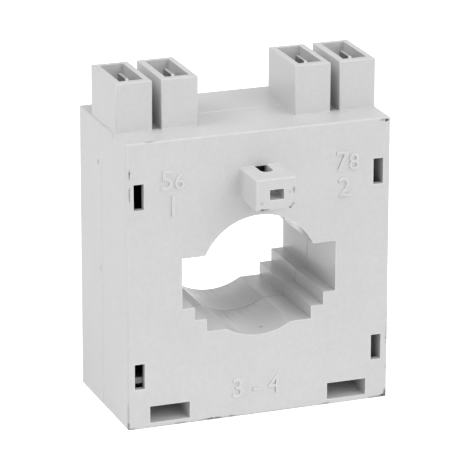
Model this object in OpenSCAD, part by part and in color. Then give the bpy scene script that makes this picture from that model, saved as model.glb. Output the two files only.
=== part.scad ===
// Window current transformer in a two-part moulded case, for a flat busbar or a round cable.
// Millimetres. The origin is at the centre of the case's bottom face, +Z is up and the front
// face looks along -Y. Inside each half of the case, depth is measured from its own outer face.

/* [Case] */
// Width of the case
case_w = 70.7; // [69.7:0.1:80]
// Height of the case, without the terminal towers
case_h = 75.7; // [74:0.1:84]
// Depth of the case from the front face to the rear face
case_d = 36.9; // [34:0.1:44]
// Depth of the front half, from the front face to the parting line
front_depth = 19.5; // [17:0.5:21]
// Thickness of the front wall and of the rear wall
face_wall = 1.7; // [1.5:0.1:2]
// Thickness of the side walls and of the roof
side_wall = 1.85; // [1.6:0.05:1.9]
// Thickness of the floor of the case
floor_wall = 1.4; // [1.2:0.1:1.6]
// Radius of the outer edges of the case
edge_r = 0.5; // [0.4:0.1:1.2]

/* [Window] */
// Radius of the round window for a cable
window_r = 16; // [15:0.25:16.5]
// Height of the centre of the window above the base
window_z = 37.6; // [36.8:0.1:38.3]
// Width of the slot for a busbar
slot_w = 41.5; // [40.5:0.25:42]
// Height of the slot for a busbar
slot_h = 13.4; // [12:0.1:14]
// Width of each step below the slot
step_w = 3.3; // [2.8:0.1:3.5]
// Height of each step below the slot
step_h = 3.4; // [3:0.1:3.6]
// Thickness of the tube wall around the window
tube_wall = 1.5; // [1.2:0.1:1.6]

/* [Clamp guide] */
// Width of the clamp guide on the front face
guide_w = 10.6; // [9:0.1:12]
// Distance that the clamp guide stands out of the front face
guide_out = 11.3; // [9:0.1:13]
// Height of the clamp guide
guide_h = 8.2; // [7:0.1:9]
// Height of the middle of the clamp guide above the base
guide_z = 62.4; // [61:0.1:63]

/* [Snap joints] */
// Width of each snap window in the front face
snap_w = 2.7; // [2.6:0.1:3]
// Height of each snap window in the front face
snap_h = 6.8; // [6:0.1:7]
// Height of the middle of the lower snap windows above the base
snap_low_z = 14.15; // [13:0.05:15]
// Height of the middle of the upper snap windows above the base
snap_high_z = 61.65; // [60:0.05:62]

/* [Foot pockets] */
// Width of each pocket for a clip-on foot
pocket_w = 10.7; // [10:0.1:12]
// Height of each pocket for a clip-on foot
pocket_h = 4.45; // [4.3:0.05:4.5]
// Depth of each pocket for a clip-on foot
pocket_d = 15; // [12:0.5:15.5]
// Distance from the middle of the case to the middle of each pocket
pocket_x = 24.1; // [23:0.1:25]

/* [Terminals] */
// Width of each terminal tower
tower_w = 9.75; // [9.2:0.05:9.8]
// Depth of each terminal tower from front to rear
tower_d = 19; // [17:0.1:20]
// Height of each terminal tower above the case
tower_h = 12.95; // [11:0.05:15]
// Gap between the two towers of one terminal block
tower_gap = 2.4; // [2.2:0.1:3]
// Distance from the middle of the case to the inner side of a terminal block
block_x = 13; // [12.8:0.1:13.2]
// Width of each plug-on tab
tab_w = 6.3; // [4.8:0.1:6.3]
// Thickness of the sheet brass of the tabs
tab_t = 0.8; // [0.5:0.1:0.8]

/* [Wound core] */
// Inner radius of the finished winding
wound_r_in = 24.6; // [24.4:0.1:25]
// Outer radius of the finished winding
wound_r_out = 32.7; // [32:0.1:32.9]
// Length of the finished winding along the busbar
wound_len = 30.4; // [29:0.1:30.6]
// Number of turns of the secondary winding
turns = 72; // [60:1:90]
// Diameter of the winding wire
wire_d = 1.5; // [1.2:0.1:1.6]

/* [Hidden] */
$fn = 64;
eps = 0.01;
fit_gap = 0.05;

// Colours, as they are on the object
shell_colour = [0.78, 0.78, 0.78];
brass_colour = [0.80, 0.68, 0.40];
steel_colour = [0.45, 0.46, 0.48];
copper_colour = [0.70, 0.36, 0.20];
cap_colour = [0.15, 0.15, 0.16];
wrap_colour = [0.08, 0.08, 0.09];
sleeve_colour = [0.92, 0.92, 0.90];

rear_depth = case_d - front_depth;
inner_x = case_w / 2 - side_wall;
roof_z = case_h - side_wall;
seam_chamfer = 0.25;
seam_gap = 0.1;
seam_deep = 0.4;
tube_seam_w = 0.25;
tube_seam_deep = 0.15;
lip_t = 0.7;
lip_len = 1.5;
tube_lip_t = 0.75;
tube_lip_len = 2;
slot_bottom = window_z - slot_h / 2;
slot_top = window_z + slot_h / 2;

// Catches of the snap joints, as depths behind the front face
catch_front = 9.2;
catch_len = 2.4;
catch_in = 0.9;
arm_t = 1.3;
nose_len = 2.6;
arm_root = 6;

// Ribs that hold the wound core
rib_t = 1.2;
rib_h = (case_d - 2 * face_wall - wound_len) / 2;
rib_r_in = 25.2;
rib_r_out = 32.4;
cradle_x = [-9, 0, 9];

// Terminal blocks
block_w = 2 * tower_w + tower_gap;
block_mid_x = block_x + block_w / 2;
tower_y = 0.45;
tower_r = 0.35;
wall_x = 1.7;
wall_front = 2;
wall_rear = 1.6;
neck_in = 1.2;
neck_outer_x = inner_x - 0.3;
flange_t = 1.6;
flange_out = 0.9;
socket_floor = case_h - 0.5;
flange_z = roof_z - flange_t;
tab_y = -0.85;
tab_pitch = tower_w + tower_gap;
tab_top = case_h + tower_h - 0.55;
tab_point = 0.4;
tail_w = 3;
tail_len = 4.6;
tail_y = tab_y + tab_w / 2;
tail_hole_z = flange_z - tab_t - tail_len + 1.6;

// Layers of the wound core, from the outside to the inside
wrap_t = 0.3;
cap_t = 0.6;
layer_in = wire_d + wrap_t;
cap_r_in = wound_r_in + layer_in;
cap_r_out = wound_r_out - layer_in;
cap_len = wound_len - 2 * layer_in;
core_r_in = cap_r_in + cap_t;
core_r_out = cap_r_out - cap_t;
core_len = cap_len - 2 * cap_t;
strip_turns = 5;
strip_groove = 0.08;
sleeve_r = wire_d / 2 + 0.5;
lead_bend_r = 1.6;
lead_y = tail_y + lead_bend_r + 0.4;

// A rectangle with round corners, centred on its own middle
module rounded_rect(w, h, r) {
    square([w - 2 * r, h], center = true);
    square([w, h - 2 * r], center = true);
    for (sx = [-1, 1], sy = [-1, 1])
        translate([sx * (w / 2 - r), sy * (h / 2 - r)]) circle(r);
}

// A rectangle from y = 0 to y = d with two round corners at y = 0 and two chamfers at y = d
module half_outline(w, d, r, c) {
    difference() {
        union() {
            translate([-w / 2 + r, 0]) square([w - 2 * r, d]);
            translate([-w / 2, r]) square([w, d - r]);
            for (s = [-1, 1]) translate([s * (w / 2 - r), r]) circle(r);
        }
        if (c > 0)
            for (s = [-1, 1])
                polygon([[s * w / 2, d - c], [s * (w / 2 - c), d], [s * (w / 2 + c), d + c]]);
    }
}

// A block with its outer face at y = 0, its bottom at z = 0 and all its edges round except
// those at the far end, which have a chamfer. It is where three extruded outlines meet.
module rounded_half(w, d, h, r, c) {
    intersection() {
        translate([0, 0, -eps]) linear_extrude(h + 2 * eps) half_outline(w, d, r, c);
        translate([-w / 2 - eps, 0, h / 2]) rotate([90, 0, 90])
            linear_extrude(w + 2 * eps) rotate(-90) half_outline(h, d, r, c);
        translate([0, d + eps, h / 2]) rotate([90, 0, 0])
            linear_extrude(d + 2 * eps) rounded_rect(w, h, r);
    }
}

// The window seen from the front: a circle, the busbar slot and the two steps below it
module window_outline(grow = 0) {
    translate([0, window_z]) circle(window_r + grow);
    for (k = [0 : 2]) {
        half_w = slot_w / 2 - k * step_w + grow;
        low = slot_bottom - k * step_h - grow;
        translate([-half_w, low]) square([2 * half_w, slot_top + grow - low]);
    }
}

// A prism of a front outline, from one depth to another
module along_depth(from, to) {
    translate([0, to, 0]) rotate([90, 0, 0]) linear_extrude(to - from) children();
}

// A box between two corners
module box_between(a, b) {
    translate(a) cube([b[0] - a[0], b[1] - a[1], b[2] - a[2]]);
}

// The frame-shaped end of the wall at the parting line, from one inset to another
module rim_outline(inset_out, inset_in) {
    difference() {
        translate([-case_w / 2 + inset_out, inset_out])
            square([case_w - 2 * inset_out, case_h - 2 * inset_out]);
        translate([-inner_x + inset_in, floor_wall + inset_in])
            square([2 * (inner_x - inset_in), roof_z - floor_wall - 2 * inset_in]);
    }
}

// Pocket for a clip-on foot: the channel's walls, then its space
module pocket_walls() {
    for (s = [-1, 1])
        translate([s * pocket_x, 0, 0])
            box_between([-pocket_w / 2 - rib_t, face_wall / 2, floor_wall / 2],
                        [pocket_w / 2 + rib_t, pocket_d + rib_t, floor_wall + pocket_h + rib_t]);
}

module pocket_spaces() {
    for (s = [-1, 1])
        translate([s * pocket_x, 0, 0])
            box_between([-pocket_w / 2, -1, floor_wall],
                        [pocket_w / 2, pocket_d, floor_wall + pocket_h]);
}

// Radial ribs that the end of the winding rests on, and cradle ribs under it
module core_ribs(depth) {
    for (a = [22.5 : 45 : 359])
        translate([0, 0, window_z]) rotate([0, a, 0])
            box_between([rib_r_in, face_wall / 2, -rib_t / 2],
                        [rib_r_out, face_wall + rib_h, rib_t / 2]);
    difference() {
        for (x = cradle_x)
            box_between([x - rib_t / 2, face_wall / 2, floor_wall / 2],
                        [x + rib_t / 2, depth - lip_len - 1, window_z - rib_r_out + 3]);
        translate([0, 0, window_z]) rotate([-90, 0, 0])
            translate([0, 0, -1]) cylinder(r = wound_r_out, h = depth + 2);
    }
}

// Square edges of the roof beside the terminal blocks, so that the towers stand on a full roof
module tower_seats(depth, tower_from) {
    for (s = [0, 1]) mirror([s, 0, 0])
        box_between([inner_x, tower_from, case_h - edge_r], [block_x + block_w, depth, case_h]);
}

// One half of the case: walls, half of the window tube, ribs and pockets
module half_case(depth, tower_from) {
    difference() {
        union() {
            difference() {
                rounded_half(case_w, depth, case_h, edge_r, seam_chamfer);
                box_between([-inner_x, face_wall, floor_wall], [inner_x, depth + 1, roof_z]);
            }
            tower_seats(depth, tower_from);
            along_depth(face_wall / 2, depth) window_outline(tube_wall);
            pocket_walls();
            core_ribs(depth);
        }
        along_depth(-1, depth + 1) window_outline();
        pocket_spaces();
    }
}

// The neck of the right-hand terminal block, grown by a clearance, between two heights
module block_neck(clearance, low, high) {
    box_between([block_x + neck_in - clearance, tower_y - tower_d / 2 + neck_in - clearance, low],
                [neck_outer_x + clearance, tower_y + tower_d / 2 - neck_in + clearance, high]);
}

// The openings that both halves leave in the roof for the necks of the terminal blocks
module neck_openings() {
    for (s = [0, 1]) mirror([s, 0, 0]) block_neck(fit_gap, flange_z, case_h + 1);
}

// Ledges on the side walls that the snap hooks catch on, and the windows in front of them
module catch_ledges() {
    for (s = [-1, 1], z = [snap_low_z, snap_high_z])
        translate([0, 0, z - snap_h / 2]) linear_extrude(snap_h)
            polygon([[s * (inner_x + 0.5), catch_front], [s * (inner_x - catch_in), catch_front],
                     [s * (inner_x - catch_in), catch_front + catch_len / 3],
                     [s * inner_x, catch_front + catch_len], [s * (inner_x + 0.5), catch_front + catch_len]]);
}

module snap_windows() {
    for (s = [0, 1], z = [snap_low_z, snap_high_z])
        mirror([s, 0, 0])
            box_between([inner_x - snap_w, -1, z - snap_h / 2], [inner_x, face_wall + 1, z + snap_h / 2]);
}

// A thin web behind the lower left snap window, between the side wall and the front wall
module window_web() {
    web_h = 1.5;
    web_z = 12.75;
    web_back = 1.5;
    web_t = 0.9;
    box_between([-inner_x - eps, web_back, web_z - web_h / 2],
                [-inner_x + snap_w + web_t, web_back + web_t, web_z + web_h / 2]);
}

// The clamp guide on the front face: a block with an upright slot for a clamp strip, which is
// open to the inside of the case, and a smaller opening from the front that meets it
module clamp_guide() {
    translate([0, -guide_out, guide_z - guide_h / 2])
        rounded_half(guide_w, guide_out + face_wall / 2, guide_h, 0.5, 0);
}

module clamp_guide_slots() {
    upright_w = 3.4;
    upright_d = 5.4;
    side_x = 0.25;
    front_w = 3.8;
    front_h = 2.7;
    front_z = 62.35;
    translate([side_x, 0, guide_z - guide_h / 2 - eps]) linear_extrude(guide_h + 2 * eps) {
        translate([-upright_w / 2, -upright_d + upright_w / 2])
            square([upright_w, upright_d - upright_w / 2 + face_wall + 1]);
        translate([0, -upright_d + upright_w / 2]) circle(upright_w / 2);
    }
    box_between([side_x - front_w / 2, -guide_out - 1, front_z - front_h / 2],
                [side_x + front_w / 2, -upright_w / 2, front_z + front_h / 2]);
}

module front_shell() {
    color(shell_colour) translate([0, -case_d / 2, 0]) {
        difference() {
            union() {
                half_case(front_depth, case_d / 2 + tower_y - tower_d / 2);
                catch_ledges();
                clamp_guide();
            }
            // Rebates at the parting line for the lips of the rear half
            along_depth(front_depth - lip_len - fit_gap, front_depth + 1)
                rim_outline(side_wall - lip_t - fit_gap, eps);
            along_depth(front_depth - tube_lip_len - fit_gap, front_depth + 1) difference() {
                window_outline(tube_wall + 1);
                window_outline(tube_wall - tube_lip_t - fit_gap);
            }
            translate([0, case_d / 2, 0]) neck_openings();
            snap_windows();
            clamp_guide_slots();
        }
        window_web();
    }
}

// A snap arm of the rear half, in the front half's depths: a root on the side wall, a
// flat spring and a hook that stands behind the catch ledge
module snap_arm() {
    arm_x = inner_x - catch_in - fit_gap;
    tip = catch_front - fit_gap - nose_len;
    linear_extrude(snap_h - 0.6, center = true)
        polygon([[arm_x - arm_t, front_depth + arm_root + 3], [arm_x - arm_t, tip + 0.8],
                 [arm_x - arm_t + 0.8, tip], [arm_x, tip],
                 [inner_x - 0.2, catch_front - fit_gap - 0.6], [inner_x - 0.2, catch_front - fit_gap],
                 [arm_x, catch_front - fit_gap], [arm_x, front_depth + 1],
                 [inner_x + 0.5, front_depth + 1 + 1.4], [inner_x + 0.5, front_depth + arm_root + 3]]);
}

// The fine grooves that the parting line leaves round the case and inside the window tube
module seam_lines() {
    along_depth(rear_depth - seam_gap, rear_depth + 1) difference() {
        translate([-case_w / 2 - 1, -1]) square([case_w + 2, case_h + 2]);
        translate([-case_w / 2 + seam_deep, seam_deep])
            square([case_w - 2 * seam_deep, case_h - 2 * seam_deep]);
    }
    along_depth(rear_depth - tube_seam_w, rear_depth + 1) window_outline(tube_seam_deep);
}

module rear_shell() {
    color(shell_colour) difference() {
        union() {
            translate([0, case_d / 2, 0]) mirror([0, 1, 0]) {
                difference() {
                    half_case(rear_depth, case_d / 2 - tower_y - tower_d / 2);
                    seam_lines();
                }
                along_depth(rear_depth - 1, rear_depth + lip_len)
                    rim_outline(side_wall - lip_t, 0);
                along_depth(rear_depth - 1, rear_depth + tube_lip_len) difference() {
                    window_outline(tube_wall);
                    window_outline(tube_wall - tube_lip_t);
                }
            }
            for (s = [0, 1], z = [snap_low_z, snap_high_z])
                mirror([s, 0, 0]) translate([0, -case_d / 2, z]) snap_arm();
        }
        neck_openings();
    }
}

// A terminal tower: a round-edged block that stands on the roof, before its socket is cut
module tower() {
    intersection() {
        linear_extrude(tower_h) rounded_rect(tower_w, tower_d, tower_r);
        translate([0, tower_d / 2 + eps, 0]) rotate([90, 0, 0]) linear_extrude(tower_d + 2 * eps)
            translate([0, (tower_h - tower_r) / 2]) rounded_rect(tower_w, tower_h + tower_r, tower_r);
        translate([-tower_w / 2 - eps, 0, 0]) rotate([90, 0, 90]) linear_extrude(tower_w + 2 * eps)
            translate([0, (tower_h - tower_r) / 2]) rounded_rect(tower_d, tower_h + tower_r, tower_r);
    }
}

// The right-hand block: two towers on a neck, with a flange that the roof holds down
module terminal_block() {
    color(shell_colour) difference() {
        union() {
            for (s = [-1, 1]) translate([block_mid_x + s * tab_pitch / 2, tower_y, case_h]) tower();
            block_neck(0, flange_z, case_h + eps);
            box_between([block_x - flange_out, tower_y - tower_d / 2 - flange_out, flange_z],
                        [inner_x - 0.1, tower_y + tower_d / 2 + flange_out, roof_z]);
        }
        for (s = [-1, 1]) translate([block_mid_x + s * tab_pitch / 2, 0, 0]) {
            box_between([-tower_w / 2 + wall_x, tower_y - tower_d / 2 + wall_front, socket_floor],
                        [tower_w / 2 - wall_x, tower_y + tower_d / 2 - wall_rear, case_h + tower_h + 1]);
            box_between([-tab_t / 2 - fit_gap, tab_y - tab_w / 2 - fit_gap, flange_z - 1],
                        [tab_t / 2 + fit_gap, tab_y + tab_w / 2 + fit_gap, socket_floor + 1]);
        }
    }
}

// One tab of the stamping, with a pointed end and the small hole that a plug locks in
module tab_blank() {
    low = flange_z - tab_t;
    difference() {
        polygon([[-tab_w / 2, low], [tab_w / 2, low], [tab_w / 2, tab_top - tab_point],
                 [tab_w / 2 - tab_point, tab_top], [-tab_w / 2 + tab_point, tab_top],
                 [-tab_w / 2, tab_top - tab_point]]);
        translate([0, tab_top - 4.2]) circle(0.8);
    }
}

// The right-hand stamping: two tabs on one strip, with a tail for the lead
module tab_pair() {
    color(brass_colour) translate([block_mid_x, 0, 0]) {
        for (s = [-1, 1])
            translate([s * tab_pitch / 2 - tab_t / 2, tab_y, 0]) rotate([90, 0, 90])
                linear_extrude(tab_t) tab_blank();
        box_between([-tab_pitch / 2, tab_y - tab_w / 2, flange_z - tab_t],
                    [tab_pitch / 2, tab_y + tab_w / 2, flange_z]);
        translate([0, tail_y, 0]) rotate([90, 0, 0]) linear_extrude(tab_t) difference() {
            union() {
                translate([-tail_w / 2, tail_hole_z]) square([tail_w, flange_z - tail_hole_z]);
                translate([0, tail_hole_z]) circle(tail_w / 2);
            }
            translate([0, tail_hole_z]) circle(wire_d / 2);
        }
    }
}

// A ring around the window, from one radius to another, with round corners in its section
module ring(r_in, r_out, len, r) {
    translate([0, 0, window_z]) rotate([90, 0, 0]) rotate_extrude()
        translate([(r_in + r_out) / 2, 0]) rounded_rect(r_out - r_in, len, r);
}

module winding_wrap() {
    color(wrap_colour) difference() {
        ring(wound_r_in, wound_r_out, wound_len, 1.6);
        ring(wound_r_in + wrap_t, wound_r_out - wrap_t, wound_len - 2 * wrap_t, 1.3);
        for (s = [0, 1]) mirror([s, 0, 0]) lead_rise(wire_d / 2 + fit_gap, case_h);
    }
}

// The turns of the winding, side by side round the core
module winding() {
    turn_mid = (cap_r_in + cap_r_out) / 2;
    turn_d = cap_r_out - cap_r_in;
    seat = 0.02;
    color(copper_colour)
        for (k = [0.5 : turns - 0.5])
            translate([0, 0, window_z]) rotate([0, k * 360 / turns, 0])
                translate([turn_mid, 0, -wire_d / 2]) linear_extrude(wire_d) difference() {
                    rounded_rect(turn_d + 2 * wire_d - 2 * seat, cap_len + 2 * wire_d - 2 * seat, 1.3);
                    rounded_rect(turn_d + 2 * seat, cap_len + 2 * seat, 0.4);
                }
}

module core_cap() {
    difference() {
        ring(cap_r_in, cap_r_out, cap_len, 0.4);
        ring(core_r_in, core_r_out, core_len, 0.01);
    }
}

// The strip-wound core, with the edges of its layers as fine grooves in both ends
module core() {
    layer = (core_r_out - core_r_in) / strip_turns;
    color(steel_colour) translate([0, 0, window_z]) rotate([90, 0, 0]) difference() {
        rotate_extrude() translate([core_r_in, -core_len / 2]) square([core_r_out - core_r_in, core_len]);
        for (k = [1 : strip_turns - 1], s = [-1, 1])
            rotate_extrude() translate([core_r_in + k * layer, s * core_len / 2])
                square(strip_groove * 2, center = true);
    }
}

// An upright round bar where the right-hand lead rises from the winding
module lead_rise(r, high) {
    low = window_z + wound_r_out / 2;
    translate([block_mid_x, lead_y, low]) cylinder(r = r, h = high - low);
}

// The round space inside the wrap, or the round outside of it, that a lead starts from
module wound_cylinder(r) {
    translate([0, case_d, window_z]) rotate([90, 0, 0]) cylinder(r = r, h = 2 * case_d);
}

// The right-hand lead: up from the winding, then forward through the tail of the stamping
module lead() {
    bend_z = tail_hole_z - lead_bend_r;
    color(copper_colour) difference() {
        union() {
            lead_rise(wire_d / 2, bend_z);
            translate([block_mid_x, lead_y - lead_bend_r, bend_z]) rotate([90, 0, 90])
                rotate_extrude(angle = 90) translate([lead_bend_r, 0]) circle(wire_d / 2);
            translate([block_mid_x, lead_y - lead_bend_r, tail_hole_z]) rotate([90, 0, 0])
                cylinder(r = wire_d / 2, h = lead_y - lead_bend_r - tail_y + tab_t + 0.8);
        }
        wound_cylinder(wound_r_out - wrap_t);
    }
}

// The sleeve on the right-hand lead, from the wrap to the start of the bend
module sleeve() {
    color(sleeve_colour) difference() {
        lead_rise(sleeve_r, tail_hole_z - lead_bend_r);
        lead_rise(wire_d / 2, case_h);
        wound_cylinder(wound_r_out);
    }
}

module terminal_block_left() { mirror([1, 0, 0]) terminal_block(); }
module terminal_block_right() { terminal_block(); }
module tabs_left() { mirror([1, 0, 0]) tab_pair(); }
module tabs_right() { tab_pair(); }
module lead_left() { mirror([1, 0, 0]) lead(); }
module lead_right() { lead(); }
module sleeve_left() { mirror([1, 0, 0]) sleeve(); }
module sleeve_right() { sleeve(); }

module core_cap_front() {
    color(cap_colour) intersection() {
        core_cap();
        box_between([-case_w, -case_d, 0], [case_w, 0, case_h]);
    }
}

module core_cap_rear() {
    color(cap_colour) intersection() {
        core_cap();
        box_between([-case_w, 0, 0], [case_w, case_d, case_h]);
    }
}

front_shell();
rear_shell();
terminal_block_left();
terminal_block_right();
tabs_left();
tabs_right();
core();
core_cap_front();
core_cap_rear();
winding();
winding_wrap();
lead_left();
lead_right();
sleeve_left();
sleeve_right();
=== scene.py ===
import math

import bmesh
import bpy
from mathutils import Matrix, Vector


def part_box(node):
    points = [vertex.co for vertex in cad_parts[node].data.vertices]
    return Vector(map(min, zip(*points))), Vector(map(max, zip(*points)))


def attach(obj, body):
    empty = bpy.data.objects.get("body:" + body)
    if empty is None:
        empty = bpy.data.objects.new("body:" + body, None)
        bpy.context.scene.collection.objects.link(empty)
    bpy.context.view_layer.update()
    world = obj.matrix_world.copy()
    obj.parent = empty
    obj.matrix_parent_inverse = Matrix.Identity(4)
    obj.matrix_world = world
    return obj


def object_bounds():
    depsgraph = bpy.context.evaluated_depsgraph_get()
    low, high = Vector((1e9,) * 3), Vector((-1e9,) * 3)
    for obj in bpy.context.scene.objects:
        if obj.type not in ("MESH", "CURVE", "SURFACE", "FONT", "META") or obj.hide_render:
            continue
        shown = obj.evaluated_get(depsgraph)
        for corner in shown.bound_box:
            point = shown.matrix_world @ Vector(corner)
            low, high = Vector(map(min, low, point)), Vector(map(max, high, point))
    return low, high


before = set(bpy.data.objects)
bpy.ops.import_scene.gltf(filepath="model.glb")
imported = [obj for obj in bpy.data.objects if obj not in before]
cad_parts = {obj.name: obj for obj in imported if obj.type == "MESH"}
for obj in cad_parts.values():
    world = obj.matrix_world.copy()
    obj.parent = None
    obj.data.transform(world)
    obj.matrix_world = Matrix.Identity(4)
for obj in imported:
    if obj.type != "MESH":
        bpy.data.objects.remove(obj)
cad_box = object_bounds()
scene = bpy.context.scene
scene.view_settings.view_transform = "Standard"
mm = 0.001


# Camera: a long lens close to a metre away, to the left of the case and above its top.
# The angles are those of its line of sight: round the object, down to it, and about itself.
camera_data = bpy.data.cameras.new("camera")
camera_data.sensor_width = 36
camera_data.lens = 281.07
camera = bpy.data.objects.new("camera", camera_data)
scene.collection.objects.link(camera)
scene.camera = camera
camera_place = Vector((-314.256, -836.590, 342.050)) * mm
turn_right = math.radians(20.606)
look_down = math.radians(18.535)
lean = math.radians(0.133)
camera.matrix_world = (
    Matrix.Translation(camera_place)
    @ Matrix.Rotation(-turn_right, 4, "Z")
    @ Matrix.Rotation(math.radians(90) - look_down, 4, "X")
    @ Matrix.Rotation(lean, 4, "Z")
)


# Wound core: a long strip of silicon steel rolled into a ring and cut to the width of the
# case, so that its two ends show the edges of the layers. Every finish below is made with
# the three functions here.
def shader_node(tree, kind, inputs=None, **settings):
    made = tree.nodes.new("ShaderNode" + kind)
    for name, value in settings.items():
        setattr(made, name, value)
    for socket, value in (inputs or {}).items():
        if isinstance(value, bpy.types.NodeSocket):
            tree.links.new(value, made.inputs[socket])
        else:
            made.inputs[socket].default_value = value
    return made


def new_finish(name, **plain_values):
    """A material, its node tree, its Principled shader and its place on the object in mm."""
    finish = bpy.data.materials.new(name)
    finish.use_nodes = True
    tree = finish.node_tree
    shader = tree.nodes["Principled BSDF"]
    for socket, value in plain_values.items():
        shader.inputs[socket.replace("_", " ")].default_value = value
    place = shader_node(tree, "TexCoord").outputs["Object"]
    place = shader_node(tree, "VectorMath", {0: place, "Scale": 1 / mm}, operation="SCALE")
    return finish, tree, shader, place.outputs["Vector"]


def dress(finish, *names):
    for name in names:
        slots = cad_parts[name].data.materials
        slots.clear()
        slots.append(finish)


window_height = 37.6
strip_pitch = 0.3
steel, tree, shader, place = new_finish("silicon_steel_strip", Metallic=1.0)
centred = shader_node(tree, "Mapping", {"Vector": place, "Location": (0, 0, -window_height)})
flat = shader_node(tree, "VectorMath", {0: centred.outputs[0], 1: (1, 0, 1)}, operation="MULTIPLY")
radius = shader_node(tree, "VectorMath", {0: flat.outputs[0]}, operation="LENGTH").outputs["Value"]
layer = shader_node(tree, "Math", {0: radius, 1: strip_pitch}, operation="PINGPONG")
layer_tone = shader_node(
    tree, "MapRange", {0: layer.outputs[0], 1: 0.0, 2: strip_pitch / 4, 3: 0.35, 4: 1.0}
)
mill_marks = shader_node(
    tree, "TexNoise", {"Vector": centred.outputs[0], "Scale": 0.8, "Detail": 6.0}
)
steel_tone = shader_node(
    tree, "Mix", {0: mill_marks.outputs["Fac"], 6: (0.22, 0.22, 0.24, 1), 7: (0.36, 0.37, 0.39, 1)},
    data_type="RGBA",
)
steel_colour = shader_node(
    tree, "Mix", {0: layer_tone.outputs[0], 6: (0.06, 0.06, 0.07, 1), 7: steel_tone.outputs[2]},
    data_type="RGBA",
)
tree.links.new(steel_colour.outputs[2], shader.inputs["Base Color"])
steel_gloss = shader_node(tree, "MapRange", {0: mill_marks.outputs["Fac"], 3: 0.28, 4: 0.45})
tree.links.new(steel_gloss.outputs[0], shader.inputs["Roughness"])
steel_bump = shader_node(tree, "Bump", {"Height": layer_tone.outputs[0], "Distance": 0.02 * mm})
tree.links.new(steel_bump.outputs[0], shader.inputs["Normal"])
dress(steel, "core")


# Core caps: two black insulating mouldings that close over the core from the front and the
# rear. The mould's fine grain shows on them, which all moulded pieces below share.
def new_group(name, numbers, vectors=(), outputs=("Mask",)):
    """An empty node group with named inputs and number outputs, and its two end nodes."""
    group = bpy.data.node_groups.new(name, "ShaderNodeTree")
    for label in vectors:
        group.interface.new_socket(name=label, in_out="INPUT", socket_type="NodeSocketVector")
    for label, value in numbers.items():
        socket = group.interface.new_socket(name=label, in_out="INPUT", socket_type="NodeSocketFloat")
        socket.default_value = value
    for label in outputs:
        group.interface.new_socket(name=label, in_out="OUTPUT", socket_type="NodeSocketFloat")
    return group, group.nodes.new("NodeGroupInput"), group.nodes.new("NodeGroupOutput")


def use_group(tree, group, inputs):
    made = tree.nodes.new("ShaderNodeGroup")
    made.node_tree = group
    for socket, value in inputs.items():
        if isinstance(value, bpy.types.NodeSocket):
            tree.links.new(value, made.inputs[socket])
        else:
            made.inputs[socket].default_value = value
    return made


mould_grain, given, result = new_group(
    "mould_grain", {"Grain": 0.25, "Flow": 18.0}, vectors=["Place"], outputs=("Height", "Tone")
)
fineness = shader_node(mould_grain, "Math", {0: 1.0, 1: given.outputs["Grain"]}, operation="DIVIDE")
pits = shader_node(
    mould_grain, "TexVoronoi",
    {"Vector": given.outputs["Place"], "Scale": fineness.outputs[0], "Smoothness": 0.6},
    feature="SMOOTH_F1",
)
sand = shader_node(
    mould_grain, "TexNoise",
    {"Vector": given.outputs["Place"], "Scale": fineness.outputs[0], "Detail": 3.0, "Roughness": 0.6},
)
grain_height = shader_node(
    mould_grain, "Math", {0: pits.outputs["Distance"], 1: sand.outputs["Fac"]}, operation="ADD"
)
mould_grain.links.new(grain_height.outputs[0], result.inputs["Height"])
wideness = shader_node(mould_grain, "Math", {0: 1.0, 1: given.outputs["Flow"]}, operation="DIVIDE")
flow = shader_node(
    mould_grain, "TexNoise",
    {"Vector": given.outputs["Place"], "Scale": wideness.outputs[0], "Detail": 4.0,
     "Roughness": 0.55, "Distortion": 0.4},
)
fine_tone = shader_node(
    mould_grain, "Math", {0: sand.outputs["Fac"], 1: 0.35, 2: -0.175}, operation="MULTIPLY_ADD"
)
mottle = shader_node(
    mould_grain, "TexNoise",
    {"Vector": given.outputs["Place"], "Scale": 0.9, "Detail": 3.0, "Roughness": 0.65},
)
mottle_tone = shader_node(
    mould_grain, "Math", {0: mottle.outputs["Fac"], 1: 1.3, 2: -0.65}, operation="MULTIPLY_ADD"
)
fine_tone = shader_node(
    mould_grain, "Math", {0: fine_tone.outputs[0], 1: mottle_tone.outputs[0]}, operation="ADD"
)
tone = shader_node(
    mould_grain, "Math", {0: flow.outputs["Fac"], 1: fine_tone.outputs[0]}, operation="ADD"
)
mould_grain.links.new(tone.outputs[0], result.inputs["Tone"])

cap_black, tree, shader, place = new_finish("black_insulator")
cap_grain = use_group(tree, mould_grain, {"Place": place, "Grain": 0.4})
cap_tone = shader_node(
    tree, "Mix", {0: cap_grain.outputs["Tone"], 6: (0.02, 0.02, 0.022, 1), 7: (0.04, 0.04, 0.043, 1)},
    data_type="RGBA",
)
tree.links.new(cap_tone.outputs[2], shader.inputs["Base Color"])
cap_gloss = shader_node(tree, "MapRange", {0: cap_grain.outputs["Tone"], 3: 0.45, 4: 0.6})
tree.links.new(cap_gloss.outputs[0], shader.inputs["Roughness"])
cap_bump = shader_node(
    tree, "Bump", {"Height": cap_grain.outputs["Height"], "Distance": 0.03 * mm, "Strength": 0.5}
)
tree.links.new(cap_bump.outputs[0], shader.inputs["Normal"])
dress(cap_black, "core_cap_front", "core_cap_rear")


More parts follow.
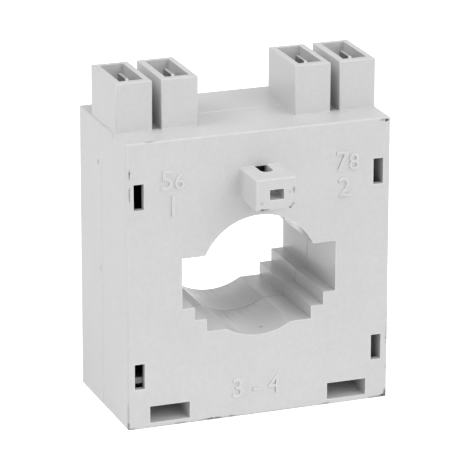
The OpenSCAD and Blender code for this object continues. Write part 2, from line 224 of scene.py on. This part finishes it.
# Winding and its two leads: round copper wire with a clear enamel, wound side by side over
# the caps. The enamel is a gloss coat, and the wire's tone changes from turn to turn.
copper, tree, shader, place = new_finish(
    "enamelled_copper", Metallic=1.0, Roughness=0.32, Coat_Roughness=0.12
)
centred = shader_node(tree, "Mapping", {"Vector": place, "Location": (0, 0, -window_height)})
turn_axis = shader_node(tree, "SeparateXYZ", {0: centred.outputs[0]})
turn_angle = shader_node(
    tree, "Math", {0: turn_axis.outputs["X"], 1: turn_axis.outputs["Z"]}, operation="ARCTAN2"
)
turn_tone = shader_node(
    tree, "TexNoise", {"W": turn_angle.outputs[0], "Scale": 14.0, "Detail": 2.0}, noise_dimensions="1D"
)
enamel_spread = shader_node(tree, "TexNoise", {"Vector": place, "Scale": 0.5, "Detail": 3.0})
copper_tone = shader_node(
    tree, "Mix", {0: turn_tone.outputs["Fac"], 6: (0.36, 0.08, 0.03, 1), 7: (0.58, 0.19, 0.08, 1)},
    data_type="RGBA",
)
tree.links.new(copper_tone.outputs[2], shader.inputs["Base Color"])
enamel_coat = shader_node(tree, "MapRange", {0: enamel_spread.outputs["Fac"], 3: 0.6, 4: 1.0})
tree.links.new(enamel_coat.outputs[0], shader.inputs["Coat Weight"])
enamel_bump = shader_node(
    tree, "Bump", {"Height": enamel_spread.outputs["Fac"], "Distance": 0.05 * mm, "Strength": 0.4}
)
tree.links.new(enamel_bump.outputs[0], shader.inputs["Normal"])
dress(copper, "winding", "lead_left", "lead_right")


# Winding wrap: black polyester tape wound round the winding, each lap over half of the
# one before, so that a fine step runs round the ring at every lap.
laps = 46
tape, tree, shader, place = new_finish("polyester_tape", Coat_Roughness=0.2)
centred = shader_node(tree, "Mapping", {"Vector": place, "Location": (0, 0, -window_height)})
lap_axis = shader_node(tree, "SeparateXYZ", {0: centred.outputs[0]})
lap_angle = shader_node(
    tree, "Math", {0: lap_axis.outputs["X"], 1: lap_axis.outputs["Z"]}, operation="ARCTAN2"
)
lap_count = shader_node(
    tree, "Math", {0: lap_angle.outputs[0], 1: laps / (2 * math.pi), 2: laps}, operation="MULTIPLY_ADD"
)
lap_slant = shader_node(
    tree, "Math", {0: lap_axis.outputs["Y"], 1: 0.02, 2: lap_count.outputs[0]}, operation="MULTIPLY_ADD"
)
lap_step = shader_node(tree, "Math", {0: lap_slant.outputs[0]}, operation="FRACT")
tape_stain = shader_node(tree, "TexNoise", {"Vector": place, "Scale": 0.12, "Detail": 4.0})
lap_shade = shader_node(
    tree, "Math", {0: lap_step.outputs[0], 1: 0.5, 2: tape_stain.outputs["Fac"]},
    operation="MULTIPLY_ADD",
)
tape_colour = shader_node(
    tree, "Mix", {0: lap_shade.outputs[0], 6: (0.018, 0.018, 0.02, 1), 7: (0.04, 0.04, 0.043, 1)},
    data_type="RGBA",
)
tree.links.new(tape_colour.outputs[2], shader.inputs["Base Color"])
tape_gloss = shader_node(tree, "MapRange", {0: tape_stain.outputs["Fac"], 3: 0.22, 4: 0.4})
tree.links.new(tape_gloss.outputs[0], shader.inputs["Roughness"])
tape_bump = shader_node(tree, "Bump", {"Height": lap_step.outputs[0], "Distance": 0.06 * mm})
tree.links.new(tape_bump.outputs[0], shader.inputs["Normal"])
dress(tape, "winding_wrap")


# Sleeves: woven glass tubes pushed over the leads. The braid is two sets of threads that
# cross as they climb round the tube.
threads = 10
braid_climb = 3.2
lead_x = 23.95
lead_y = 4.3
sleeve_white, tree, shader, place = new_finish("woven_glass_sleeve", Roughness=0.75)
sides = shader_node(tree, "SeparateXYZ", {0: place})
side_x = shader_node(tree, "Math", {0: sides.outputs["X"]}, operation="ABSOLUTE")
round_x = shader_node(tree, "Math", {0: side_x.outputs[0], 1: lead_x}, operation="SUBTRACT")
round_y = shader_node(tree, "Math", {0: sides.outputs["Y"], 1: lead_y}, operation="SUBTRACT")
round_angle = shader_node(
    tree, "Math", {0: round_x.outputs[0], 1: round_y.outputs[0]}, operation="ARCTAN2"
)
braid = []
for way in (-1, 1):
    climb = shader_node(
        tree, "Math", {0: sides.outputs["Z"], 1: way * braid_climb}, operation="MULTIPLY"
    )
    thread = shader_node(
        tree, "Math", {0: round_angle.outputs[0], 1: threads, 2: climb.outputs[0]},
        operation="MULTIPLY_ADD",
    )
    braid.append(shader_node(tree, "Math", {0: thread.outputs[0]}, operation="SINE").outputs[0])
weave = shader_node(tree, "Math", {0: braid[0], 1: braid[1]}, operation="MAXIMUM")
sleeve_tone = shader_node(tree, "MapRange", {0: weave.outputs[0], 1: -1.0, 2: 1.0, 3: 0.45, 4: 0.8})
sleeve_colour = shader_node(tree, "CombineColor", {i: sleeve_tone.outputs[0] for i in range(3)})
tree.links.new(sleeve_colour.outputs[0], shader.inputs["Base Color"])
sleeve_bump = shader_node(tree, "Bump", {"Height": weave.outputs[0], "Distance": 0.08 * mm})
tree.links.new(sleeve_bump.outputs[0], shader.inputs["Normal"])
dress(sleeve_white, "sleeve_left", "sleeve_right")


# Tabs: two U-shaped stampings of sheet brass, tin-plated. The rolling lines of the sheet run
# up the blades, and a painted highlight lightens the front corner of each tip to near white.
tab_corner = (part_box("tabs_right")[1].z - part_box("tabs_right")[0].y) / mm
tip_highlight_start = tab_corner - 0.8
tip_highlight_full = tab_corner - 0.15
tin, tree, shader, place = new_finish("tinned_brass", Metallic=1.0)
rolled = shader_node(tree, "Mapping", {"Vector": place, "Scale": (1, 1, 0.08)})
rolling_lines = shader_node(
    tree, "TexNoise", {"Vector": rolled.outputs[0], "Scale": 6.0, "Detail": 5.0, "Roughness": 0.7}
)
dull_patch = shader_node(tree, "TexNoise", {"Vector": place, "Scale": 0.45, "Detail": 3.0})
tab_place = shader_node(tree, "SeparateXYZ", {0: place})
cornerwise = shader_node(
    tree, "Math", {0: tab_place.outputs["Z"], 1: tab_place.outputs["Y"]}, operation="SUBTRACT"
)
# painted highlight: the front corner of each tip goes to near white
painted_tip_highlight = shader_node(
    tree, "MapRange", {0: cornerwise.outputs[0], 1: tip_highlight_start, 2: tip_highlight_full, 3: 0.0, 4: 1.0}
)
tin_tone = shader_node(
    tree, "Mix", {0: dull_patch.outputs["Fac"], 6: (0.28, 0.276, 0.268, 1), 7: (0.36, 0.356, 0.345, 1)},
    data_type="RGBA",
)
tin_colour = shader_node(
    tree, "Mix", {0: painted_tip_highlight.outputs[0], 6: tin_tone.outputs[2], 7: (0.95, 0.945, 0.93, 1)},
    data_type="RGBA",
)
tree.links.new(tin_colour.outputs[2], shader.inputs["Base Color"])
tin_gloss = shader_node(tree, "MapRange", {0: rolling_lines.outputs["Fac"], 3: 0.07, 4: 0.18})
tree.links.new(tin_gloss.outputs[0], shader.inputs["Roughness"])
tin_bump = shader_node(
    tree, "Bump",
    {"Height": rolling_lines.outputs["Fac"], "Distance": 0.01 * mm, "Strength": 0.6},
)
tree.links.new(tin_bump.outputs[0], shader.inputs["Normal"])
dress(tin, "tabs_left", "tabs_right")


# Terminal blocks: two light grey mouldings, each with a pair of open towers on a neck that
# the case traps. Their edges are a little lighter than the faces, partly from wear and partly a
# painted highlight, and painted shade darkens the gap between the towers towards its bottom.
def soften(name, width):
    """Gives a CAD node's sharp edges the small radius that a mould leaves."""
    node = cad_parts[name]
    weld = node.modifiers.new("weld", "WELD")
    weld.merge_threshold = 0.002 * mm
    flat_faces = node.modifiers.new("flat_faces", "DECIMATE")
    flat_faces.decimate_type = "DISSOLVE"
    flat_faces.angle_limit = math.radians(0.5)
    edges = node.modifiers.new("edges", "BEVEL")
    edges.width = width * mm
    edges.segments = 2
    edges.limit_method = "ANGLE"
    edges.angle_limit = math.radians(40)
    edges.harden_normals = True


# Lighter edges: partly wear, partly a painted highlight where an edge catches the light.
edge_wear_and_highlight, given, result = new_group(
    "edge_wear_and_highlight", {"Width": 0.42, "Patch": 4.0, "Amount": 1.0}, vectors=["Place"]
)
edge_reach = shader_node(edge_wear_and_highlight, "Math", {0: given.outputs["Width"], 1: mm}, operation="MULTIPLY")
rounded = shader_node(edge_wear_and_highlight, "Bevel", {"Radius": edge_reach.outputs[0]}, samples=6)
faced = shader_node(edge_wear_and_highlight, "NewGeometry").outputs["Normal"]
straight = shader_node(
    edge_wear_and_highlight, "VectorMath", {0: rounded.outputs[0], 1: faced}, operation="DOT_PRODUCT"
)
near_edge = shader_node(
    edge_wear_and_highlight, "MapRange", {0: straight.outputs["Value"], 1: 0.995, 2: 0.9, 3: 0.0, 4: 1.0}
)
patch_size = shader_node(edge_wear_and_highlight, "Math", {0: 1.0, 1: given.outputs["Patch"]}, operation="DIVIDE")
edge_patches = shader_node(
    edge_wear_and_highlight, "TexNoise",
    {"Vector": given.outputs["Place"], "Scale": patch_size.outputs[0], "Detail": 5.0, "Roughness": 0.65},
)
patchy_edges = shader_node(
    edge_wear_and_highlight, "MapRange", {0: edge_patches.outputs["Fac"], 1: 0.35, 2: 0.6, 3: 0.45, 4: 1.0}
)
wear_and_highlight = shader_node(
    edge_wear_and_highlight, "Math", {0: near_edge.outputs[0], 1: patchy_edges.outputs[0]}, operation="MULTIPLY"
)
wear_and_highlight = shader_node(edge_wear_and_highlight, "Math", {0: wear_and_highlight.outputs[0], 1: given.outputs["Amount"]}, operation="MULTIPLY")
edge_wear_and_highlight.links.new(wear_and_highlight.outputs[0], result.inputs["Mask"])


plastic_bump = 0.35


def grey_over(tree, colour, mask, tone):
    """A colour with a plain grey laid over it where a mask is 1."""
    mixed = shader_node(tree, "Mix", {0: mask, 6: colour, 7: (tone, tone, tone, 1)}, data_type="RGBA")
    return mixed.outputs[2]


def grey_plastic(name, dark, light, edge_wear_and_highlight_tone, grain):
    """Moulded light grey plastic: its finish, tree, shader, place and colour."""
    finish, tree, shader, place = new_finish(name)
    texture = use_group(tree, mould_grain, {"Place": place, "Grain": grain})
    wear_and_highlight_mask = use_group(tree, edge_wear_and_highlight, {"Place": place})
    colour = shader_node(
        tree, "Mix", {0: texture.outputs["Tone"], 6: (*[dark] * 3, 1), 7: (*[light] * 3, 1)},
        data_type="RGBA",
    )
    # the edges get a lighter grey, which is wear and painted highlight together
    colour = grey_over(tree, colour.outputs[2], wear_and_highlight_mask.outputs["Mask"], edge_wear_and_highlight_tone)
    tree.links.new(colour, shader.inputs["Base Color"])
    gloss = shader_node(tree, "MapRange", {0: texture.outputs["Tone"], 3: 0.36, 4: 0.46})
    gloss = shader_node(
        tree, "Math", {0: wear_and_highlight_mask.outputs["Mask"], 1: -0.12, 2: gloss.outputs[0]}, operation="MULTIPLY_ADD"
    )
    tree.links.new(gloss.outputs[0], shader.inputs["Roughness"])
    bump = shader_node(
        tree, "Bump",
        {"Height": texture.outputs["Height"], "Distance": 0.02 * mm, "Strength": plastic_bump},
    )
    tree.links.new(bump.outputs[0], shader.inputs["Normal"])
    return finish, tree, shader, place, colour


inside_box, given, result = new_group("inside_box", {}, vectors=["Place", "Middle", "Half size"])
past = shader_node(
    inside_box, "VectorMath", {0: given.outputs["Place"], 1: given.outputs["Middle"]}, operation="SUBTRACT"
)
past = shader_node(inside_box, "VectorMath", {0: past.outputs[0]}, operation="ABSOLUTE")
past = shader_node(
    inside_box, "VectorMath", {0: past.outputs[0], 1: given.outputs["Half size"]}, operation="SUBTRACT"
)
past = shader_node(inside_box, "SeparateXYZ", {0: past.outputs[0]})
furthest = shader_node(inside_box, "Math", {0: past.outputs[0], 1: past.outputs[1]}, operation="MAXIMUM")
furthest = shader_node(inside_box, "Math", {0: furthest.outputs[0], 1: past.outputs[2]}, operation="MAXIMUM")
box_fade = 0.1
within = shader_node(
    inside_box, "MapRange", {0: furthest.outputs[0], 1: box_fade, 2: 0.0, 3: 0.0, 4: 1.0}
)
inside_box.links.new(within.outputs[0], result.inputs["Mask"])


def in_box(tree, place, box):
    """A mask of the places inside a box, which is given by its middle and half its size in mm."""
    middle, half_size = box
    return use_group(
        tree, inside_box, {"Place": place, "Middle": middle, "Half size": half_size}
    ).outputs["Mask"]


def deep_painted_shade(tree, place, box, axis, unshaded, shaded):
    """A mask of painted shade in a box, from none at one place on an axis to full at another."""
    along = shader_node(tree, "SeparateXYZ", {0: place}).outputs[axis]
    growth = shader_node(tree, "MapRange", {0: along, 1: unshaded, 2: shaded, 3: 0.0, 4: 1.0})
    return shader_node(
        tree, "Math", {0: growth.outputs[0], 1: in_box(tree, place, box)}, operation="MULTIPLY"
    ).outputs[0]


tower_gap_box = ((lead_x, 0, 80), (1.15, 12, 6))
block_grey, tree, shader, place, block_colour = grey_plastic(
    "terminal_block_grey", dark=0.62, light=0.69, edge_wear_and_highlight_tone=0.88, grain=0.3
)
either_side = shader_node(tree, "VectorMath", {0: place}, operation="ABSOLUTE").outputs[0]
# painted shade: the gap between the towers darkens towards its bottom
gap_painted_shade = deep_painted_shade(tree, either_side, tower_gap_box, axis="Z", unshaded=85.0, shaded=76.5)
tree.links.new(grey_over(tree, block_colour, gap_painted_shade, 0.4), shader.inputs["Base Color"])
dress(block_grey, "terminal_block_left", "terminal_block_right")
for name in ("terminal_block_left", "terminal_block_right"):
    soften(name, 0.15)


# Case: two halves of spark-eroded light grey plastic that snap together at the parting line.
# The window tube has neither the wear nor the painted highlight of the edges. The parting line
# is darker, and painted shade darkens the foot pockets' depth and the web behind a snap window.
# Small dark scuffs are along the front edges and on the clamp guide.
smudge, given, result = new_group(
    "smudge", {"Strength": 1.0, "Ragged": 1.6}, vectors=["Place", "Centre", "Reach"]
)
offset = shader_node(
    smudge, "VectorMath", {0: given.outputs["Place"], 1: given.outputs["Centre"]}, operation="SUBTRACT"
)
offset = shader_node(
    smudge, "VectorMath", {0: offset.outputs[0], 1: given.outputs["Reach"]}, operation="DIVIDE"
)
away = shader_node(smudge, "VectorMath", {0: offset.outputs[0]}, operation="LENGTH")
rough_edge = shader_node(
    smudge, "TexNoise", {"Vector": given.outputs["Place"], "Scale": 2.2, "Detail": 3.0}
)
rough_edge = shader_node(smudge, "Math", {0: rough_edge.outputs["Fac"], 1: 0.5}, operation="SUBTRACT")
rough_edge = shader_node(
    smudge, "Math", {0: rough_edge.outputs[0], 1: given.outputs["Ragged"], 2: away.outputs["Value"]},
    operation="MULTIPLY_ADD",
)
spot = shader_node(smudge, "MapRange", {0: rough_edge.outputs[0], 1: 1.1, 2: 0.5, 3: 0.0, 4: 1.0})
spot = shader_node(smudge, "Math", {0: spot.outputs[0], 1: given.outputs["Strength"]}, operation="MULTIPLY")
smudge.links.new(spot.outputs[0], result.inputs["Mask"])

front_y = -cad_box[1].y / mm
guide_y = cad_box[0].y / mm
case_side_x = cad_box[1].x / mm
face_reach = 0.8
front_marks = [
    # x and z of the centre, reach in x and z, all in mm, and strength
    (34.3, 74.95, 0.8, 0.45, 1.0),
    (33.3, 75.1, 1.0, 0.35, 0.45),
    (34.2, 0.5, 1.1, 0.45, 1.0),
    (34.8, 1.35, 0.45, 1.0, 0.85),
    (32.4, 0.35, 1.4, 0.35, 0.5),
    (30.9, 0.3, 1.1, 0.35, 0.4),
    (35.3, 17.6, 0.5, 3.6, 0.7),
    (35.3, 22.7, 0.4, 3.6, 0.35),
    (35.3, 8.45, 0.5, 0.8, 0.35),
    (18.3, 0.3, 1.6, 0.35, 0.45),
    (-7.4, 0.35, 1.0, 0.4, 0.65),
    (-9.2, 0.3, 1.2, 0.3, 0.35),
    (-11.3, 0.35, 1.1, 0.4, 0.85),
    (-13.2, 0.35, 1.3, 0.4, 0.85),
    (-15.2, 0.3, 1.2, 0.35, 0.45),
    (-21.3, 0.3, 2.0, 0.35, 0.5),
    # a long thin darker line along the bottom edge of the front face
    (-6.0, 0.05, 30.0, 0.32, 0.35),
    (-35.3, 1.2, 0.5, 1.5, 0.65),
    (-35.3, 4.5, 0.4, 3.5, 0.3),
    (-34.6, 68.0, 0.26, 1.3, 0.8),
    (-34.6, 62.6, 0.24, 2.2, 0.5),
]
guide_marks = [
    (-3.7, 58.55, 0.8, 0.38, 1.0),
    (-2.5, 58.6, 1.0, 0.28, 0.55),
    (-3.8, 60.3, 0.55, 0.5, 0.25),
    (3.8, 58.75, 0.5, 0.42, 0.95),
    (4.5, 59.5, 0.45, 0.7, 0.4),
    (4.75, 63.2, 0.4, 0.9, 0.55),
    (3.7, 62.7, 0.4, 0.5, 0.2),
]
scuffs = [
    # centre in mm, reach in mm, strength
    ((-34.7, front_y, 0.35), (1.7, 0.9, 0.45), 0.5),
    ((-29.2, -18.0, 75.7), (1.7, 0.4, 0.5), 0.4),
    ((-case_side_x, -8.2, 74.8), (0.8, 0.9, 0.8), 0.15),
    ((-case_side_x, 3.5, 64.95), (0.8, 0.45, 0.75), 0.6),
    ((-case_side_x, 2.0, 36.95), (0.8, 0.5, 1.2), 0.3),
    ((2.3, -13.8, 21.7), (0.7, 0.5, 0.6), 0.45),
]
for face_y, marks in ((front_y, front_marks), (guide_y, guide_marks)):
    for x, z, reach_x, reach_z, strength in marks:
        scuffs.append(((x, face_y, z), (reach_x, face_reach, reach_z), strength))

case_grey, tree, shader, place, case_colour = grey_plastic(
    "case_grey", dark=0.63, light=0.70, edge_wear_and_highlight_tone=0.93, grain=0.22
)
dark_marks = None
for centre, reach, strength in scuffs:
    mark = use_group(
        tree, smudge, {"Place": place, "Centre": centre, "Reach": reach, "Strength": strength}
    ).outputs["Mask"]
    if dark_marks is not None:
        mark = shader_node(tree, "Math", {0: dark_marks, 1: mark}, operation="MAXIMUM").outputs[0]
    dark_marks = mark
either_side = shader_node(tree, "VectorMath", {0: place}, operation="ABSOLUTE").outputs[0]
front_depth = 19.5
tube_box = ((0, 0, window_height), (21, 18.3, 16.3))
parting_box = ((0, front_y + front_depth, 37.85), (36, 0.03, 38))
web_box = ((-31.9, -16.3, 12.75), (2.2, 0.7, 0.85))
pocket_box = ((24.1, 10.9, 4.1), (5.6, 7.6, 2.6))
tube = in_box(tree, place, tube_box)
parting_line = in_box(tree, place, parting_box)
# painted shade on the web behind the lower left snap window and in the depth of the foot pockets
web_painted_shade = in_box(tree, place, web_box)
pocket_painted_shade = deep_painted_shade(tree, either_side, pocket_box, axis="Y", unshaded=17.5, shaded=9.0)
for mask, tone in (
    (tube, 0.655), (parting_line, 0.3), (web_painted_shade, 0.17), (pocket_painted_shade, 0.36), (dark_marks, 0.06),
):
    case_colour = grey_over(tree, case_colour, mask, tone)
tree.links.new(case_colour, shader.inputs["Base Color"])
outer_gloss = shader.inputs["Roughness"].links[0].from_socket
tube_gloss = 0.24
case_gloss = shader_node(tree, "Mix", {0: tube, 2: outer_gloss, 3: tube_gloss}, data_type="FLOAT")
tree.links.new(case_gloss.outputs[0], shader.inputs["Roughness"])
case_bump = shader.inputs["Normal"].links[0].from_node
tube_bump = 0.05
bump_strength = shader_node(
    tree, "Mix", {0: tube, 2: plastic_bump, 3: tube_bump}, data_type="FLOAT"
)
tree.links.new(bump_strength.outputs[0], case_bump.inputs["Strength"])
dress(case_grey, "front_shell", "rear_shell")
for name in ("front_shell", "rear_shell"):
    soften(name, 0.12)


# Raised numbers: they are cut into the mould, so that they stand 0.4 mm proud of the front
# face. They are plain numbers, in the places of the terminal marks.
font_number_height = 0.72
proud = 0.4
edge_bevel = 0.1
stroke_change = -0.08


def raised_number(name, words, height, left, low):
    """Raised words on the front face, from a left end and a base line."""
    letters = bpy.data.curves.new(name, "FONT")
    letters.body = words
    letters.size = height / font_number_height
    letters.extrude = proud - edge_bevel
    letters.bevel_depth = edge_bevel
    letters.offset = stroke_change
    letters.resolution_u = 6
    written = bpy.data.objects.new(name + "_letters", letters)
    scene.collection.objects.link(written)
    bpy.context.view_layer.update()
    mesh = bpy.data.meshes.new_from_object(written.evaluated_get(bpy.context.evaluated_depsgraph_get()))
    bpy.data.objects.remove(written)
    mesh.transform(
        Matrix.Translation(Vector((left, front_y, low)) * mm)
        @ Matrix.Rotation(math.radians(90), 4, "X")
        @ Matrix.Scale(mm, 4)
    )
    number = bpy.data.objects.new(name, mesh)
    scene.collection.objects.link(number)
    mesh.materials.clear()
    mesh.materials.append(case_grey)
    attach(number, "root")


upper_line = 62.95
lower_line = 55.95
base_line = 5.35
for name, words, height, left, low in (
    ("number_left_tall", "5", 5.2, -26.6, upper_line),
    ("number_left_small", "6", 4.1, -22.9, upper_line),
    ("number_left_low", "1", 5.3, -25.0, lower_line),
    ("number_right_tall", "7", 5.2, 20.3, upper_line),
    ("number_right_small", "8", 4.3, 23.9, upper_line),
    ("number_right_low", "2", 5.3, 21.0, lower_line),
    ("number_low", "3 - 4", 5.2, -7.6, base_line),
):
    raised_number(name, words, height, left, low)


# Floor and light: a sheet of white paper in a light tent, which glows in five broad patches:
# above, in front, at the front right, and low and high on the left. The white that the camera
# and mirrors see is no light on the object.
def seen_directly(tree):
    """1 for a ray that the camera, a mirror or glass sends, and 0 for light on a surface."""
    path = shader_node(tree, "LightPath").outputs
    mirrored = shader_node(
        tree, "Math", {0: path["Is Glossy Ray"], 1: path["Is Transmission Ray"]}, operation="MAXIMUM"
    )
    return shader_node(
        tree, "Math", {0: path["Is Camera Ray"], 1: mirrored.outputs[0]}, operation="MAXIMUM"
    ).outputs[0]


floor_mesh = bpy.data.meshes.new("floor")
shape = bmesh.new()
bmesh.ops.create_grid(shape, x_segments=1, y_segments=1, size=3)
shape.to_mesh(floor_mesh)
shape.free()
floor = bpy.data.objects.new("floor", floor_mesh)
scene.collection.objects.link(floor)
paper = bpy.data.materials.new("white_paper")
paper.use_nodes = True
tree = paper.node_tree
paper_shader = tree.nodes["Principled BSDF"]
paper_shader.inputs["Base Color"].default_value = (0.8, 0.8, 0.8, 1)
paper_shader.inputs["Roughness"].default_value = 0.9
paper_shader.inputs["Emission Color"].default_value = (1, 1, 1, 1)
glow_strength = 0.75
paper_glow = shader_node(tree, "Math", {0: seen_directly(tree), 1: glow_strength}, operation="MULTIPLY")
tree.links.new(paper_glow.outputs[0], paper_shader.inputs["Emission Strength"])
floor_mesh.materials.append(paper)

world = bpy.data.worlds.new("tent")
scene.world = world
world.use_nodes = True
tree = world.node_tree
sight = shader_node(tree, "TexCoord").outputs["Generated"]


def tent_light(tree, total, towards, focus, strength):
    """Adds to the total a soft patch of light on the tent, brightest in one direction."""
    facing = shader_node(
        tree, "VectorMath", {0: sight, 1: Vector(towards).normalized()}, operation="DOT_PRODUCT"
    )
    facing = shader_node(tree, "Math", {0: facing.outputs["Value"], 1: 0.0}, operation="MAXIMUM")
    patch = shader_node(tree, "Math", {0: facing.outputs[0], 1: focus}, operation="POWER")
    return shader_node(
        tree, "Math", {0: patch.outputs[0], 1: strength, 2: total}, operation="MULTIPLY_ADD"
    ).outputs[0]


light = 0.0
for towards, focus, strength in (
    ((0, 0, 1), 6, 0.93),
    ((0, -1, 0.3), 6, 1.07),
    ((1, -1, 1), 6, 2.05),
    ((-1, 0, 0), 2, 0.74),
    ((-1, 0, 1), 20, 3.2),
):
    light = tent_light(tree, light, towards, focus, strength)
tent_strength = shader_node(tree, "Mix", {0: seen_directly(tree), 2: light, 3: 1.0}, data_type="FLOAT")
tent = tree.nodes["Background"]
tent.inputs["Color"].default_value = (1, 1, 1, 1)
tree.links.new(tent_strength.outputs[0], tent.inputs["Strength"])
